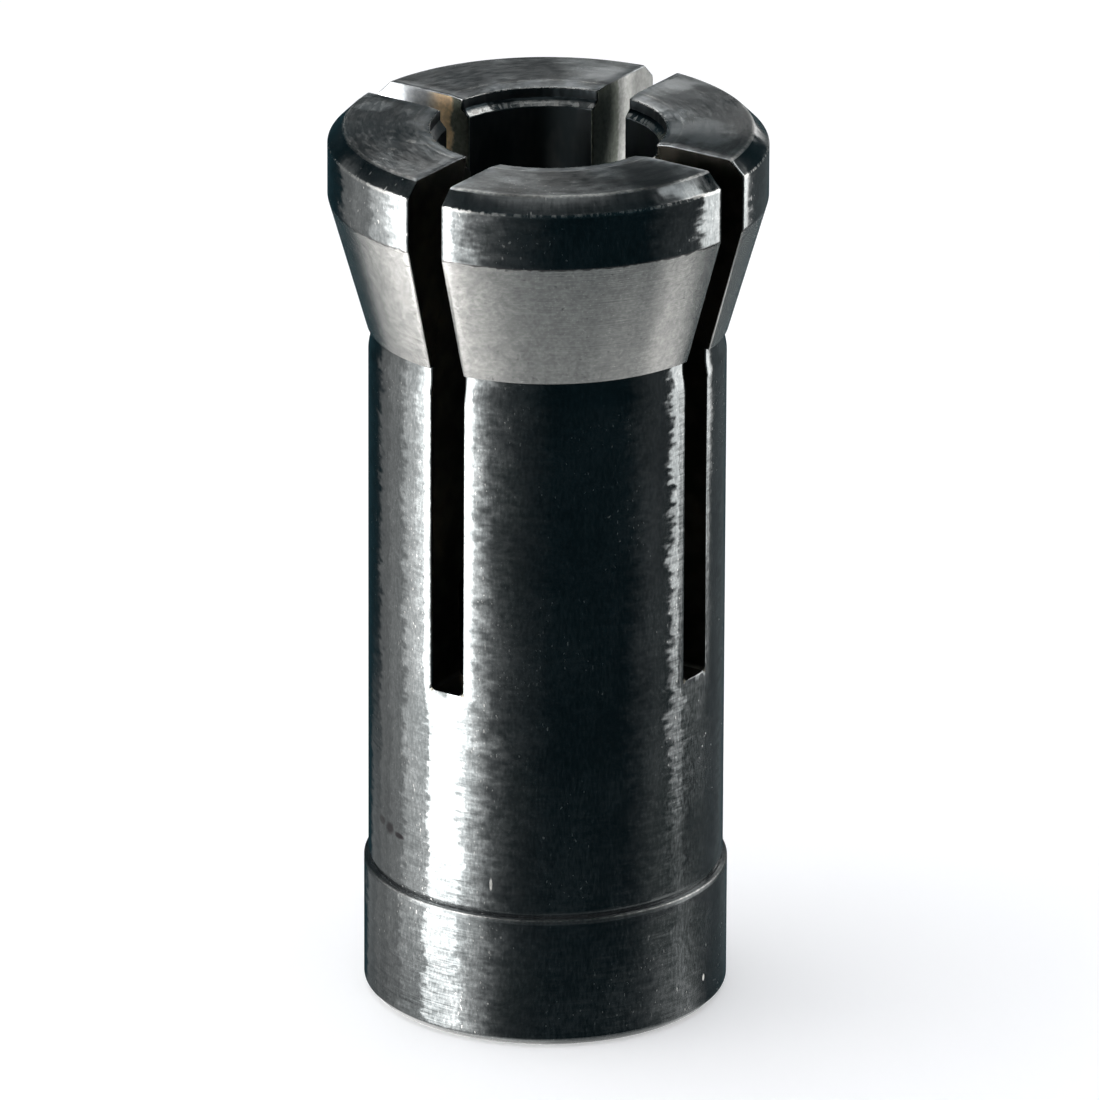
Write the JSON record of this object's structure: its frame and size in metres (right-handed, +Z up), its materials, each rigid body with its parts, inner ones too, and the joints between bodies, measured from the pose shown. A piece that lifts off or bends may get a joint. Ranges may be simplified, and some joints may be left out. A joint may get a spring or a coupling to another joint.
{
  "type": "collet",
  "caption": "Slotted spring collet: fingers with a ground taper below the head, a plain body, a base collar and a bore that clamps a round tool shank.",
  "frame": {"origin": "centre of the base face, on the collet's axis", "axes": "+Z runs up the axis to the mouth of the bore; the saw cuts lie along X and Y"},
  "size_m": [0.0158, 0.0158, 0.0333],
  "materials": {
    "black_oxide_steel": "black oxide over turned spring steel, semi-gloss, with the taper ground bare"
  },
  "bodies": {
    "root": {"collet": "black_oxide_steel"}
  },
  "joints": []
}
